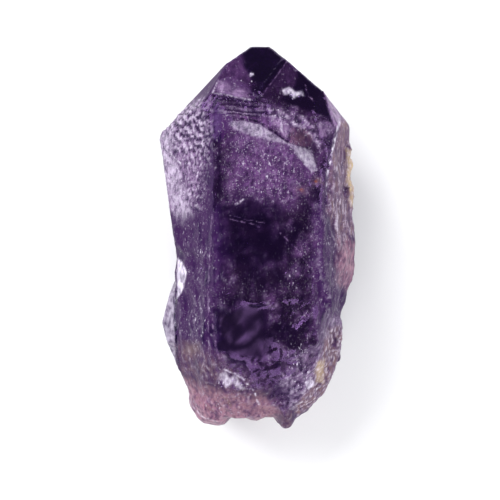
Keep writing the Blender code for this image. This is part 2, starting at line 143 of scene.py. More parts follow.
# Patches of skin seen from the front: finish, strength, width of the soft border, and outline.
PATCHES = {
    "left_tip_face": ("mauve", 0.50, 1.2, [
        (-3.9, 42.6), (-7.2, 40.3), (-9.3, 36), (-10.3, 33), (-1.5, 31.2), (-1.6, 37)]),
    # Painted shade: the steep left strip of the tip is darkened.
    "tip_strip": ("dusk", 1.0, 0.6, [
        (-7.2, 40.3), (-23, 24), (-20, 25.7), (-13.3, 32.3), (-10.4, 33), (-9.2, 36)]),
    "veil_block": ("lilac", 0.62, 1.2, [
        (-9.0, 35.8), (-10.2, 33.1), (-1.8, 31.4), (-2.6, 33.4), (-6.3, 34.6)]),
    "tip_front": ("night", 1.0, 2.4, [
        (-3.4, 46), (3, 46), (6.9, 40.6), (2.9, 35), (0.5, 32.0), (-1.0, 36), (-3.4, 41)]),
    "tip_reflection": ("silver", 0.85, 0.7, [
        (5.6, 33.6), (7.2, 34.3), (8.6, 33.3), (10.3, 33.5), (10.6, 32.2), (9.4, 32.4), (8.2, 31.6),
        (7.4, 32.6), (6.2, 32.4)]),
    # Painted glint: a bright silver spot near the tip.
    "tip_spark": ("silver", 1.0, 0.3, [(-2.0, 37.3), (-1.4, 37.9), (-0.9, 37.4), (-1.4, 36.6)]),
    # Painted reflection: a grey haze on the right tip face stands in for the surroundings it reflects.
    "right_tip_grey": ("mauve", 0.20, 0.5, [
        (6.7, 40.4), (9.3, 38.2), (8.4, 33.6), (4.1, 34.6), (0.5, 31.6), (3.2, 36.2)]),
    "right_tip_dark": ("night", 0.75, 0.7, [
        (9.4, 38.2), (14.5, 34.4), (16.6, 27.4), (9.3, 29.7), (5.1, 31.2), (8.2, 34)]),
    # Painted highlight: the small right face is painted light lilac.
    "right_small_face": ("lilac", 1.00, 0.8, [(14.9, 35), (21, 27.1), (18.2, 24.8), (16.8, 27.0)]),
    "left_face": ("mauve", 0.80, 1.6, [
        (-10.4, 32.6), (-16.7, 30.2), (-23, 24), (-21, 7), (-18, 3.6), (-12.4, 6), (-9.9, 20)]),
    "left_face_frost": ("lilac", 0.62, 2.6, [
        (-13, 32), (-17, 30), (-23, 24), (-21, 7), (-16, 5), (-13.4, 12), (-12, 24)]),
    "left_edge_pale": ("silver", 0.40, 3.0, [
        (-24, 24), (-20, 25.4), (-18.8, 19), (-17.6, 13), (-15.4, 5), (-18, 4), (-22, 12)]),
    "edge_band": ("night", 0.45, 1.4, [(-10.3, 32.1), (-8.5, 31.6), (-8.3, 6), (-10.4, 6)]),
    "haze": ("mauve", 0.80, 7.0, [(-8.0, 30), (3, 29), (13, 14), (8, 7), (-2, 5.5), (-8.0, 8)]),
    # Painted highlight: the lens-shaped step faces up and is painted silver where it catches the light.
    "lens": ("silver", 0.42, 0.5, [
        (-6.6, 26), (-3.9, 26.4), (0.4, 25.7), (3.7, 23.5), (7, 21), (3.2, 21.9), (-1.5, 23.1),
        (-5, 24.4)]),
    # Painted highlight: the small triangular face is painted silver where it catches the light.
    "silver_face": ("silver", 0.52, 0.5, [
        (7.0, 21.2), (12.2, 19.8), (12.9, 17.9), (13.6, 15.1), (12.2, 14.8), (10.5, 17.0)]),
    "brown_face": ("rose", 0.30, 0.6, [(7.7, 24.9), (10.5, 24.8), (12.6, 23.4), (12.2, 20.3), (7.2, 21.2)]),
    # Painted highlight: a lit lilac facet beside the lens.
    "bright_step": ("lilac", 0.85, 1.2, [
        (2.7, 29.2), (4.8, 28.2), (6.8, 26), (7.6, 24.2), (6.6, 22.4), (4.6, 24.4), (2.9, 26.4)]),
    "smooth_face": ("mauve", 0.75, 0.5, [
        (6.9, 21), (10.4, 17), (13.2, 14.6), (10.4, 12), (6.7, 13), (6.0, 14)]),
    "hillocks": ("lilac", 0.55, 1.2, [
        (3.4, 30.4), (10.3, 27.6), (13.4, 25), (15.2, 19.8), (13.6, 20.2), (12, 23.2), (6, 26.8)]),
    "fan_face": ("lilac", 0.55, 0.7, [
        (13.8, 26.4), (16.4, 26.4), (17.6, 24.8), (16.2, 22.7), (14.1, 23.1)]),
    "rind_face": ("umber", 0.55, 1.2, [(19.6, 28), (24, 24), (24, 2), (19, -2), (15.8, 6), (16.2, 15)]),
    "rind_head": ("umber", 0.80, 0.6, [(19.2, 27.2), (21.2, 27.2), (21.0, 24.6), (18.9, 24.4)]),
    "rind_edge": ("straw", 0.72, 1.2, [(20.6, 20.6), (24, 20), (24, 6.6), (21.5, 7.2)]),
    "bulge": ("rose", 0.62, 2.2, [(18.6, 0), (24, -2), (24, -9), (21, -12.4), (18.4, -10.6)]),
    # Painted shade: the steep right flank is darkened.
    "right_flank_dusk": ("dusk", 0.85, 3.0, [
        (13.4, 8), (20, 2), (22, -12), (20, -22), (13.4, -22), (13.0, -6)]),
    "right_flank": ("mauve", 0.45, 3.0, [(12, 6), (20, 5), (20, -16), (14, -18), (12, -8)]),
    # Painted shade: the steep left flank is darkened.
    "left_flank_dusk": ("dusk", 0.90, 5.0, [
        (-22, 5), (-8.6, 7), (-8.0, -6), (-9.6, -16), (-8.0, -28), (-12, -34), (-22, -32)]),
    "left_flank": ("mauve", 0.14, 2.4, [(-18, 4), (-10, 3), (-9.6, -13), (-13, -16), (-19, -14)]),
    "core": ("night", 0.70, 8.0, [
        (-8, 7.2), (-3, 8.6), (5, 7), (7, 0), (4.6, -9), (-1.5, -8.6), (-6, -6.6), (-9.4, -2)]),
    "hollow": ("night", 0.90, 5.0, [
        (-10, -17.4), (-4, -14.6), (1.3, -16), (3.4, -22), (1.4, -28), (-6.3, -27.6), (-9.4, -24.6)]),
    "side_crystal": ("silver", 0.45, 0.5, [
        (-18.8, -10), (-20.4, -12.6), (-23.4, -20), (-21, -26), (-19, -31), (-19.2, -24), (-19.4, -17)]),
    "lower_left_face": ("mauve", 0.28, 1.6, [
        (-19, -14), (-11, -13), (-10.4, -20), (-9.4, -27), (-8.6, -31), (-17, -32)]),
    "lower_left_stain": ("straw", 0.16, 2.6, [(-17, -24.6), (-13.6, -24.6), (-13.4, -26.6), (-17, -26.4)]),
    "foot": ("rose", 0.85, 3.0, [
        (-17.5, -33.2), (-13, -35), (-9.8, -35.4), (-4, -36), (2, -37), (5, -39), (3, -47), (-17, -47)]),
    "foot_plum": ("umber", 0.42, 5.0, [
        (-19, -25), (-9.5, -27), (-4, -31), (2, -34), (5, -42), (-5, -41), (-11, -38), (-18, -36)]),
    # Painted shade in the fold above the foot.
    "foot_fold": ("dusk", 0.80, 1.8, [(-16.4, -31), (-8.4, -30.6), (-9, -35), (-15, -35.6)]),
    "lower_right": ("lilac", 0.48, 3.0, [
        (6.5, -26.6), (15, -24.8), (16.6, -30), (12, -37), (7, -40), (5.4, -33)]),
    "right_border": ("umber", 0.78, 1.6, [
        (16.4, -21), (21, -21), (17, -36), (9.6, -42), (8.4, -39.6), (12.8, -34)]),
    "right_border_frost": ("lilac", 0.35, 2.0, [(15.2, -18), (21, -19), (18, -32), (14.6, -34)]),
    "border_stain": ("straw", 0.50, 1.0, [(13.6, -28.6), (15.4, -28.2), (15.4, -33.8), (13.4, -33.4)]),
    "flake": ("silver", 0.95, 0.3, [(11.0, -33.6), (12.4, -32.6), (13.3, -34.0), (11.9, -35.5)]),
    # Painted highlight: bright silver streaks on the foot.
    "foot_shine": ("silver", 0.75, 1.0, [
        (-8.8, -31.6), (-7.6, -30.8), (-6.4, -32.2), (-5.2, -31.6), (-4.2, -33.0), (-3.0, -34.8),
        (-4.6, -34.4), (-6.0, -33.6), (-7.2, -34.6)]),
    "spur": ("umber", 0.45, 1.0, [(5.6, -40), (8.2, -39.4), (8, -47), (4.6, -46)]),
    "stain_left": ("rust", 0.95, 0.4, [(9.5, 10.7), (10.0, 10.9), (10.5, 10.5), (10.0, 10.1)]),
    "stain_left_rim": ("umber", 0.45, 1.2, [(8.4, 11.2), (11.2, 11.6), (12.0, 9.6), (9.0, 9.4)]),
    "stain_right": ("rust", 0.95, 0.4, [(12.9, 12.8), (13.4, 13.0), (13.6, 12.5), (13.2, 12.3)]),
    "stain_right_rim": ("umber", 0.45, 1.2, [(12.0, 13.4), (14.6, 14.0), (15.0, 12.0), (12.6, 11.4)]),
    # Painted shade: the upper left shoulder facet is darkened.
    "shoulder_dusk": ("dusk", 0.95, 0.9, [
        (-10.6, 31.0), (-6.2, 28.2), (-5.8, 25.6), (-8.8, 21.4), (-10.4, 22.4)]),
    "chip": ("silver", 0.92, 0.4, [
        (-18.6, -4.9), (-17.2, -6.2), (-16.3, -8.2), (-16.9, -11.4), (-18.6, -14.3)]),
}

# Zones that only the relief uses: width of the soft border, and outline.
RELIEF_ZONES = {
    "steps": (1.2, [(-9.8, 32.8), (3, 30.6), (4.4, 27.4), (-9.6, 28)]),
    "striped": (1.6, [(5.4, -30), (9, -30), (8.6, -41), (5.2, -41)]),
    "melted_foot_edge": (3.0, [(-12, -4), (-4, -7), (19, -5), (19, -21), (-12, -21)]),
    "melted_right_edge": (2.0, [(12.6, 13), (20, 16), (20, -12), (12.4, -12)]),
    "melted_left_edge": (2.0, [(-20, 3), (-8.6, 1), (-8.6, -20), (-20, -12)]),
}

# Fine lines on the skin: finish, strength, width, and the points that they pass through.
LINES = {
    # Painted highlight: a light line along the ridge of the tip, where the edge catches the light.
    "tip_edge_highlight": ("lilac", 0.45, 0.30, [(6.7, 40.4), (3.2, 35.4), (0.4, 31.6)]),
    "veil_left": ("silver", 0.60, 0.34, [(-9.0, 36.0), (-10.3, 33.0)]),
    "veil_bottom": ("silver", 0.55, 0.32, [(-10.3, 33.0), (-6.0, 32.2), (-1.5, 31.2)]),
    # Painted highlight: a white line along the rind's border, which faces the light, and its thin end.
    "rind_border_highlight": ("silver", 0.90, 0.56, [(19.0, 27.1), (17.8, 22.8), (15.9, 14.4)]),
    "rind_border_thin": ("silver", 0.60, 0.34, [(15.9, 14.4), (15.7, 9.7)]),
    "tip_right_edge": ("night", 0.90, 0.60, [(14.6, 34.7), (15.3, 30.6), (16.9, 26.4)]),
    "streak": ("lilac", 0.70, 0.40, [(10.9, 34.8), (11.6, 32.4), (12.8, 31.1)]),
    "left_scratch": ("silver", 0.75, 0.36, [(-21.4, 20.8), (-19.4, 18.6), (-17.8, 17.0)]),
    "front_scratch": ("lilac", 0.60, 0.26, [(-6.7, 4.2), (-2.6, 3.2), (0.4, 2.3)]),
    "front_scratch_low": ("lilac", 0.40, 0.22, [(-6.4, 5.0), (-1.6, 3.7), (1.6, 3.1)]),
    "diagonal": ("lilac", 0.60, 0.26, [(5.1, 0.9), (8.6, -2.4), (11.9, -6.9)]),
    "bright_dash": ("silver", 0.75, 0.50, [(-5.2, 7.4), (-3.2, 8.5)]),
    "hollow_rim": ("lilac", 0.50, 0.40, [(-10.3, -17.5), (-10.0, -22.2), (-9.2, -26.4), (-7.9, -30.3)]),
    "lobe_rim": ("silver", 0.90, 0.40, [(-7.9, -30.3), (-3.9, -32.1), (-0.9, -35.4), (0.4, -38.8)]),
    "side_joint": ("night", 0.95, 0.60, [(-18.6, -12.6), (-19.3, -17.5), (-18.9, -24.6), (-18.4, -30.8)]),
    "lens_top": ("night", 0.80, 0.45, [(-3.9, 26.8), (0.4, 26.2), (3.7, 24.0), (7.0, 21.4)]),
    "silver_left": ("silver", 0.70, 0.34, [(7.0, 21.2), (10.2, 17.2), (12.4, 14.6)]),
    "step_edge": ("silver", 0.55, 0.40, [(4.7, 29.0), (5.4, 26.0), (5.6, 24.0)]),
    "smooth_left": ("lilac", 0.55, 0.34, [(6.9, 20.8), (6.4, 17.2), (5.6, 13.6)]),
    # Painted highlight: an arc of light inside the left lobe of the foot.
    "left_lobe_arc_highlight": ("silver", 0.55, 0.36, [
        (-16.4, -35.8), (-15.4, -39.2), (-13.0, -41.8), (-9.4, -42.8)]),
    # Painted shade: dark umber lines in the creases between the foot's lobes and the spur.
    "left_lobe_crease": ("umber", 0.80, 0.80, [(-14.6, -36.0), (-13.2, -38.4), (-10.2, -40.2)]),
    "lobe_crease_shade": ("umber", 0.90, 0.90, [(-7.6, -36.8), (-5.8, -39.4), (-5.2, -43.6)]),
    "spur_crease_shade": ("umber", 0.90, 0.90, [(0.4, -38.8), (3.0, -41.4), (3.4, -43.8)]),
    "middle_lobe_arc": ("lilac", 0.70, 0.40, [(-4.0, -40.6), (-1.6, -41.9), (1.4, -41.2)]),
    "left_front_edge": ("lilac", 0.45, 0.30, [(-10.4, 5.0), (-11.2, -10.4), (-11.2, -27.0)]),
    "upper_front_edge": ("night", 0.70, 0.50, [(-8.5, 26.0), (-8.8, 11.3)]),
    "spur_edge": ("silver", 0.50, 0.40, [(7.6, -40.0), (11.0, -37.8), (14.6, -34.8)]),
}

# Places of painted sparkle, bright silver spots that stand in for glints off small cracks at the skin:
# middle, half sizes, and strength.
PAINTED_SPARKLES = {
    "everywhere": ((0, 6), (60, 90), 0.26),
    "tip_column": ((-0.9, 34.6), (1.3, 4.6), 1.0),
    "left_tip": ((-5.6, 35.4), (4.0, 3.6), 0.55),
    "right_tip": ((12.0, 31.0), (3.0, 4.0), 0.45),
    "middle_haze": ((2.5, 15.0), (9.5, 9.0), 0.60),
    "left_streak": ((-12.4, -5.4), (2.0, 3.6), 0.80),
    "middle_chips": ((9.6, -9.0), (5.4, 4.6), 0.60),
    "foot_glints": ((-5.6, -33.4), (4.6, 2.0), 1.0),
    "lower_right": ((10.6, -30.6), (5.4, 7.0), 0.90),
    "lower_left": ((-13.0, -20.0), (4.6, 8.0), 0.65),
    "foot": ((-9.0, -39.0), (7.0, 4.0), 0.60),
    "right_side": ((18.4, 4.0), (4.0, 22.0), 0.60),
}

# Sheets of glints at the skin: middle, half sizes, depth, the flakes' largest size, and count.
GLINT_SHEETS = {
    "tip_column": ((-0.9, 34.6), (0.8, 3.6), 0.25, 0.34, 34),
    "tip_spark": ((-1.5, 37.4), (0.5, 0.5), 0.15, 0.60, 5),
    "tip_reflection": ((8.4, 32.4), (2.6, 0.9), 0.25, 0.50, 44),
    "left_tip": ((-5.6, 35.4), (3.2, 3.0), 0.30, 0.26, 30),
    "right_tip": ((12.0, 31.0), (2.2, 3.0), 0.30, 0.26, 16),
    "middle_haze": ((1.5, 15.0), (7.5, 8.0), 0.35, 0.24, 80),
    "left_streak": ((-12.4, -5.4), (1.0, 2.6), 0.30, 0.40, 34),
    "middle_chips": ((9.6, -9.0), (3.4, 3.0), 0.30, 0.36, 34),
    "core_stars": ((0.0, -4.0), (8.0, 12.0), 0.40, 0.24, 60),
    "foot_glints": ((-5.6, -33.4), (2.8, 1.0), 0.20, 0.55, 44),
    "lower_right": ((10.6, -30.6), (3.4, 5.0), 0.25, 0.40, 50),
    "lower_left": ((-13.0, -20.0), (3.0, 6.0), 0.25, 0.26, 40),
}

# Noises by their use: size, octaves, seed, and stretch along X, Y and Z.
NOISES = {
    "wander_x": (2.5, 2, 11, 1),
    "wander_y": (2.5, 2, 23, 1),
    "step_bend": (1.6, 2, 31, (3, 1, 1)),
    "steps": (0.9, 2, 33, (2, 1, 1)),
    "hillocks": (1.5, 3, 8, (1.5, 0.7, 1)),
    "lens": (0.8, 1, 35, (0.6, 2.0, 1)),
    "rind_face": (1.2, 2, 41, (1, 7, 1)),
    "etch_grain": (1.0, 2, 51, 1),
    "swell": (5.0, 2, 53, 1),
    "ridges": (6.0, 3, 61, (1, 1.6, 1)),
    "crumbs": (1.1, 3, 63, 1),
    "ring_bend": (4.0, 2, 65, 1),
    "striped": (1.0, 1, 71, (0.5, 8, 1)),
    "back_haze": (9.0, 3, 81, 1),
    "back_frost": (5.0, 3, 83, 1),
    "mottle": (2.6, 4, 91, 1),
    "dashes": (1.0, 3, 93, 1),
    "bend_x": (1.6, 2, 94, 1),
    "haze": (3.4, 4, 95, 1),
    "bend_y": (1.6, 2, 96, 1),
    "streaks": (1.1, 3, 97, (1, 6, 1)),
    "curtain": (2.4, 4, 99, (1, 2.6, 1)),
}

# Hashed cells by their use: size, seed, and stretch along X, Y and Z.
CELLS = {
    "scales": (1.9, 5, (1.0, 0.55, 1.0)),
    "fine_scales": (0.9, 6, 1),
    "crust": (1.3, 9, 1),
}

# Heights of the relief's forms, and the share of a cell at which its grain begins.
HEIGHTS = {
    "scales": 0.75, "fine_scales": 0.24, "step_rows": 0.13, "steps": 0.12, "hillocks": 0.22, "lens": 0.10,
    "rind_face": 0.16, "etch_grain": 0.05, "swell": 0.10, "ridges": 0.50, "crumbs": 0.09, "rings": 0.03,
    "striped": 0.14, "crust": 0.50,
}
RIMS = {"scales": 0.60, "fine_scales": 0.50, "crust": 0.55}
RIDGE_FOOT = 0.7

# Rows of growth steps: their spacing, and how far they lean and bend.
STEP_SPACING = 1.15
STEP_LEAN = 0.10
STEP_BEND = 0.5

# Shell-like rings: their middle, spacing and bend.
RING_MIDDLE = (-3.7, -12, 40)
RING_SPACING = 1.9
RING_BEND = 0.8

# The left face's grain runs aslant, and smooth faces lose most of the relief.
SLANT = ((0.87, 0.50, 0), (-0.50, 0.87, 0), (0, 0, 1))
SMOOTH_FACES = (
    "tip_front", "right_tip_grey", "right_tip_dark", "left_tip_face", "smooth_face", "silver_face", "hollow"
)
SMOOTH_LOSS = 0.85

# Largest share of each finish that noise or shape lays on the skin.
SHARES = {
    "haze": 0.75, "curtain": 0.60, "curtain_gap": 0.55, "streaks": 0.85, "streak_gap": 0.36,
    "back_haze": 0.70, "back_frost": 0.60, "back_foot": 0.70, "steep": 0.92, "valley": 0.75, "crest": 0.52,
}

# Mottling of the patches and its limits, bend of the lines, and how far some finishes put others out.
MOTTLE = 0.55
MOTTLE_LIMITS = (0.25, 1.5)
LINE_BEND = 0.16
FROST_OF = {"lilac": 1.0, "mauve": 0.6, "umber": 0.45}
NIGHT_LOSS = 0.8
VALLEY_LOSS = 0.6
CORE_DARK = 0.8

# Start and end of each ramp: heights and lengths, or plain values of a noise or of a normal's Z part.
RISES = {
    "moving": (2.0, 5.0), "seated": (0.15, 2.0), "raised": (10.0, 16.0), "upper": (15.0, 24.0),
    "lower": (8.0, 16.0), "tip": (31, 33), "below_tip": (-31, -27), "below_steps": (-24, -14),
    "foot": (26, 38), "detail": (0.004, 0.06), "relief_front": (0.15, 0.5),
    "painted_front": (-0.05, 0.25), "spark_front": (0.0, 0.3), "flat": (0.6, 0.85), "ring": (0.4, 0.8),
    "dashes": (-0.55, 0.40), "haze": (-0.25, 0.9), "curtain": (0.0, 1.0), "curtain_gap": (0.1, 0.9),
    "streaks": (-0.1, 0.7), "back_haze": (-0.4, 0.5), "back_frost": (0.1, 0.7),
}

# The material's noises: size, detail, seed, and stretch along X, Y and Z.
GRAINS = {
    "cloud": (5.0, 4, 0.0, (1, 1, 1)),
    "streaks": (1.1, 5, 3.0, (0.7, 1.5, 1)),
    "specks": (0.34, 2, 7.0, (1, 1, 1)),
    "shade": (0.40, 2, 9.0, (1, 1, 1)),
    "veins": (2.6, 4, 13.0, (1.0, 1.6, 1)),
    "sparkle_spots": (0.70, 4, 11.0, (0.55, 1.3, 1)),
    "bump": (0.55, 3, 5.0, (1, 1, 1)),
    "drift": (4.0, 2, 0.0, (1, 1, 1)),
    "flake": (1.0, 2, 2.0, (1, 1, 1)),
}

# The range of each noise of the material, and what it is carried to.
RANGES = {
    "cloud": (0.35, 0.70, 0.0, 1.0),
    "streaks": (0.34, 0.64, 0.35, 1.15),
    "specks": (0.58, 0.74, 0.0, 1.0),
    "shade": (0.30, 0.44, 0.8, 0.0),
    "veins": (0.002, 0.014, 0.55, 0.0),
    "sparkle_spots": (0.62, 0.69, 0.0, 1.0),
    "drift": (0.35, 0.65, 0.0, 1.0),
    "flake": (0.3, 0.7, 0.08, 0.3),
}

# Finishes that the material streaks, and the least strength of its bump.
STREAKED = ("mauve", "lilac", "rose", "umber", "silver")
LEAST_BUMP = 0.05

# Flakes: number of corners, half thickness, least share of the size, and the seeds of places and shapes.
FLAKE_CORNERS = 6
FLAKE_HALF = 0.12
FLAKE_LEAST = 0.35
PLACE_SEED = 17
SHAPE_SEED = 19

# Flakes spread about the middle of their sheet, and lie at a share of its depth and up to a little deeper.
SHEET_SPREAD = 0.6
SHEET_LIMIT = 1.3
DEPTH_SHARE = 0.4
DEPTH_MORE = 0.3
LOWEST_FLAKE = 1.0

# Height in metres from which a ray looks for the skin.
RAY_HEIGHT = 1.0

# The floor: its side, the points along it, its place below the crystal and its roughness. The sky's colour.
FLOOR_SIDE = 3000
FLOOR_POINTS = 9
FLOOR_DROP = 0.05
FLOOR_ROUGH = 0.9
SKY_COLOUR = (0.93, 0.95, 1.0, 1)

# Soft lights: place and size in metres, and which power they take.
LIGHTS = {
    "key_light": ((-0.42, 0.40, 0.52), 0.55, "key"),
    "right_light": ((0.55, 0.10, 0.42), 0.45, "fill"),
    "foot_light": ((-0.10, -0.62, 0.45), 0.45, "fill"),
}

# The camera: where it stands over the crystal, the height of the crystal's edge, and its sensor.
CAMERA_X = -0.00173
CAMERA_Y = -0.00300
EDGE_HEIGHT = 0.020
SENSOR_WIDTH = 36.0
CAMERA_END = 10.0


def unit(vectors):
    """Each vector at length one."""
    return vectors / np.maximum(np.linalg.norm(vectors, axis=-1, keepdims=True), 1e-12)


def ramp(values, low, high):
    """0 below low, 1 above high, and the smooth cubic 3t^2 - 2t^3 between them."""
    t = np.clip((values - low) / (high - low), 0.0, 1.0)
    return t * t * (3 - 2 * t)


def rise(name, values):
    """The ramp of that name over the values."""
    return ramp(values, *RISES[name])


DIRECTIONS = unit(np.random.default_rng(DIRECTION_SEED).normal(size=(DIRECTION_COUNT, 3)))


def hashed(cell, seed):
    """A whole number that looks random for each lattice cell and seed."""
    x, y, z = (cell[:, axis] * factor for axis, factor in enumerate(HASH_AXES))
    mixed = x ^ y ^ z ^ (seed * HASH_SEED)
    return (mixed ^ (mixed >> 13)) * HASH_SPREAD & HASH_MASK


def lattice_noise(points, size, seed):
    """Gradient noise, about -1 to 1: each lattice corner of that size holds a hashed direction, and the dot
    products of the eight corners round a point are blended with the smooth cubic."""
    scaled = points / size
    base = np.floor(scaled).astype(np.int64)
    offset = scaled - base
    blend = offset * offset * (3 - 2 * offset)
    total = np.zeros(len(points))
    for corner in np.ndindex(2, 2, 2):
        direction = DIRECTIONS[(hashed(base + corner, seed) >> 9) % DIRECTION_COUNT]
        weight = np.where(corner, blend, 1 - blend).prod(axis=1)
        total += weight * ((offset - corner) * direction).sum(axis=1)
    return NOISE_GAIN * total


def fractal(points, size, octaves, seed):
    """Lattice noise added at halved sizes and halved heights."""
    total = np.zeros(len(points))
    for octave in range(octaves):
        total += lattice_noise(points, size / 2**octave, seed + octave) / 2**octave
    return total


def noise(name, points):
    """The noise of that name. Each axis is divided by its stretch, which draws the noise out along it."""
    size, octaves, seed, stretch = NOISES[name]
    return fractal(points / np.array(stretch), size, octaves, seed)


def cells(name, points):
    """Distance to the nearest of one hashed point in each lattice cell, as a share of the cell's size."""
    size, seed, stretch = CELLS[name]
    scaled = points / np.array(stretch) / size
    base = np.floor(scaled).astype(np.int64)
    nearest = np.full(len(points), 9.0)
    for corner in np.ndindex(3, 3, 3):
        cell = base + corner - 1
        mixed = hashed(cell, seed)
        place = cell + np.stack([(mixed >> shift) & TEN_BITS for shift in (0, 10, 20)], axis=1) / TEN_BITS
        nearest = np.minimum(nearest, np.linalg.norm(place - scaled, axis=1))
    return nearest


def path_distance(places, path, closed):
    """Distance in the XY plane from each place to a path of straight runs."""
    starts = np.array(path, float)
    ends = np.roll(starts, -1, axis=0) if closed else starts[1:]
    nearest = np.full(len(places), np.inf)
    for start, end in zip(starts, ends):
        run = end - start
        along = np.clip(((places - start) @ run) / (run @ run), 0, 1)
        nearest = np.minimum(nearest, np.linalg.norm(places - start - along[:, None] * run, axis=1))
    return nearest


def inside(places, outline):
    """Whether each place lies inside the outline: a ray towards +X crosses an odd number of its sides."""
    odd = np.zeros(len(places), bool)
    x, y = places.T
    for (x0, y0), (x1, y1) in zip(outline, outline[1:] + outline[:1]):
        if y0 != y1:
            odd ^= ((y0 > y) != (y1 > y)) & (x < (x1 - x0) * (y - y0) / (y1 - y0) + x0)
    return odd


def near_box(places, path, margin):
    """Which places lie within a margin of a path's own box."""
    low, high = np.min(path, axis=0) - margin, np.max(path, axis=0) + margin
    return ((places > low) & (places < high)).all(axis=1)


def patch_mask(places, wander, outline, border):
    """1 inside an outline seen from the front and 0 outside it. Its soft border wanders with a slow noise."""
    mask = np.zeros(len(places))
    near = near_box(places, outline, border)
    moved = places[near] + WANDER * border * wander[near]
    distance = path_distance(moved, outline, closed=True)
    signed = np.where(inside(moved, outline), distance, -distance)
    mask[near] = ramp(signed, -border / 2, border / 2)
    return mask


def line_mask(places, path, width):
    """1 on a line seen from the front, falling to 0 between two shares of its width."""
    mask = np.zeros(len(places))
    near = near_box(places, path, width)
    low, high = (share * width for share in LINE_FADE)
    mask[near] = 1 - ramp(path_distance(places[near], path, closed=False), low, high)
    return mask


def all_masks(points):
    """The mask of each patch and of each extra zone of relief, by name."""
    places = points[:, :2]
    wander = np.stack([noise("wander_x", points), noise("wander_y", points)], axis=1)
    zones = {name: (border, outline) for name, (_, _, border, outline) in PATCHES.items()} | RELIEF_ZONES
    return {name: patch_mask(places, wander, outline, border) for name, (border, outline) in zones.items()}


def mesh_arrays(mesh):
    """A mesh's points in millimetres and its triangles."""
    flat = np.empty(3 * len(mesh.vertices))
    mesh.vertices.foreach_get("co", flat)
    mesh.calc_loop_triangles()
    corners = np.empty(3 * len(mesh.loop_triangles), np.int64)
    mesh.loop_triangles.foreach_get("vertices", corners)
    return flat.reshape(-1, 3) / MM, corners.reshape(-1, 3)


def welded_node(name):
    """The node's loose triangles as shared points in millimetres and triangles."""
    points, faces = mesh_arrays(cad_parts[name].data)
    keys = np.round(points / WELD).astype(np.int64)
    _, first, index = np.unique(keys, axis=0, return_index=True, return_inverse=True)
    faces = index.reshape(-1)[faces]
    whole = (faces[:, 0] != faces[:, 1]) & (faces[:, 1] != faces[:, 2]) & (faces[:, 0] != faces[:, 2])
    return points[first], faces[whole]


def crosses(points, faces):
    """Each triangle's normal, twice its area long."""
    a, b, c = (points[corner] for corner in faces.T)
    return np.cross(b - a, c - a)


def growth_planes(points, faces):
    """The large flat faces: normal, offset and box of each group of triangles that share a plane."""
    cross = crosses(points, faces)
    area = np.linalg.norm(cross, axis=1) / 2
    normal = unit(cross)
    offset = (normal * points[faces].mean(axis=1)).sum(axis=1)
    keys = np.column_stack([np.round(normal / NORMAL_STEP), np.round(offset / OFFSET_STEP)])
    _, group = np.unique(keys, axis=0, return_inverse=True)
    group = group.reshape(-1)
    planes = []
    for number in np.flatnonzero(np.bincount(group, weights=area) > GROWTH_AREA):
        own = group == number
        direction = unit((normal * area[:, None])[own].sum(axis=0))
        corners = points[faces[own]].reshape(-1, 3)
        height = float((corners @ direction).mean())
        planes.append((direction, height, corners.min(axis=0), corners.max(axis=0)))
    return planes


def even_skin(name, voxel):
    """A closed skin of even triangles over the node: a Remesh modifier rebuilds its triangles on a grid, and
    points close to a growth face are laid on its plane. Gives points, triangles, and 1 on growth faces."""
    points, faces = welded_node(name)
    planes = growth_planes(points, faces)
    merged = new_mesh("merged", points, faces)
    remesh = merged.modifiers.new("even", "REMESH")
    remesh.mode = "VOXEL"
    remesh.voxel_size = voxel * MM
    bpy.context.view_layer.update()
    graph = bpy.context.evaluated_depsgraph_get()
    mesh = bpy.data.meshes.new_from_object(merged.evaluated_get(graph))
    bpy.data.objects.remove(merged, do_unlink=True)
    points, faces = mesh_arrays(mesh)
    bpy.data.meshes.remove(mesh)
    points = relaxed(points, edges_of(faces), *EVEN_PASSES)
    normals = normals_of(points, faces)
    growth = np.zeros(len(points))
    for direction, offset, low, high in planes:
        away = points @ direction - offset
        near = (np.abs(away) < SNAP_REACH * voxel) & (normals @ direction > SNAP_COSINE)
        near &= ((points > low - voxel) & (points < high + voxel)).all(axis=1)
        points[near] -= away[near, None] * direction
        growth[near] = 1.0
    return points, faces, growth


def sides_of(faces):
    """Every triangle's three sides, each as its two point numbers in rising order."""
    return np.sort(faces[:, [[0, 1], [1, 2], [2, 0]]].reshape(-1, 2), axis=1)


def refined(points, faces, values, limit, passes=3):
    """Halves every edge longer than limit(its middle), pass by pass. A triangle with one, two or three halved
    edges becomes two, three or four triangles, and a new point's value is the mean of its edge's ends."""
    for _ in range(passes):
        ends = sides_of(faces)
        keys, index = np.unique(ends[:, 0] * len(points) + ends[:, 1], return_inverse=True)
        start, end = points[keys // len(points)], points[keys % len(points)]
        middle = (start + end) / 2
        long = np.linalg.norm(start - end, axis=1) > limit(middle)
        fresh = np.full(len(keys), -1)
        fresh[long] = len(points) + np.arange(long.sum())
        ends_mean = (values[keys // len(points)] + values[keys % len(points)]) / 2
        values = np.concatenate([values, ends_mean[long]])
        points = np.vstack([points, middle[long]])
        cut = fresh[index.reshape(-1, 3)]
        count = (cut >= 0).sum(axis=1)
        turn = np.where(count == 2, (cut < 0).argmax(axis=1) + 1, 0)
        turn = np.where(count == 1, (cut >= 0).argmax(axis=1), turn)
        order = (turn[:, None] + np.arange(3)) % 3
        a, b, c = np.take_along_axis(faces, order, axis=1).T
        p, q, r = np.take_along_axis(cut, order, axis=1).T
        pieces = [
            (count == 0, [(a, b, c)]),
            (count == 1, [(a, p, c), (p, b, c)]),
            (count == 2, [(p, b, q), (a, p, q), (a, q, c)]),
            (count == 3, [(a, p, r), (p, b, q), (q, c, r), (p, q, r)]),
        ]
        faces = np.vstack([np.stack(t, axis=1)[which] for which, made in pieces for t in made])
    return points, faces, values


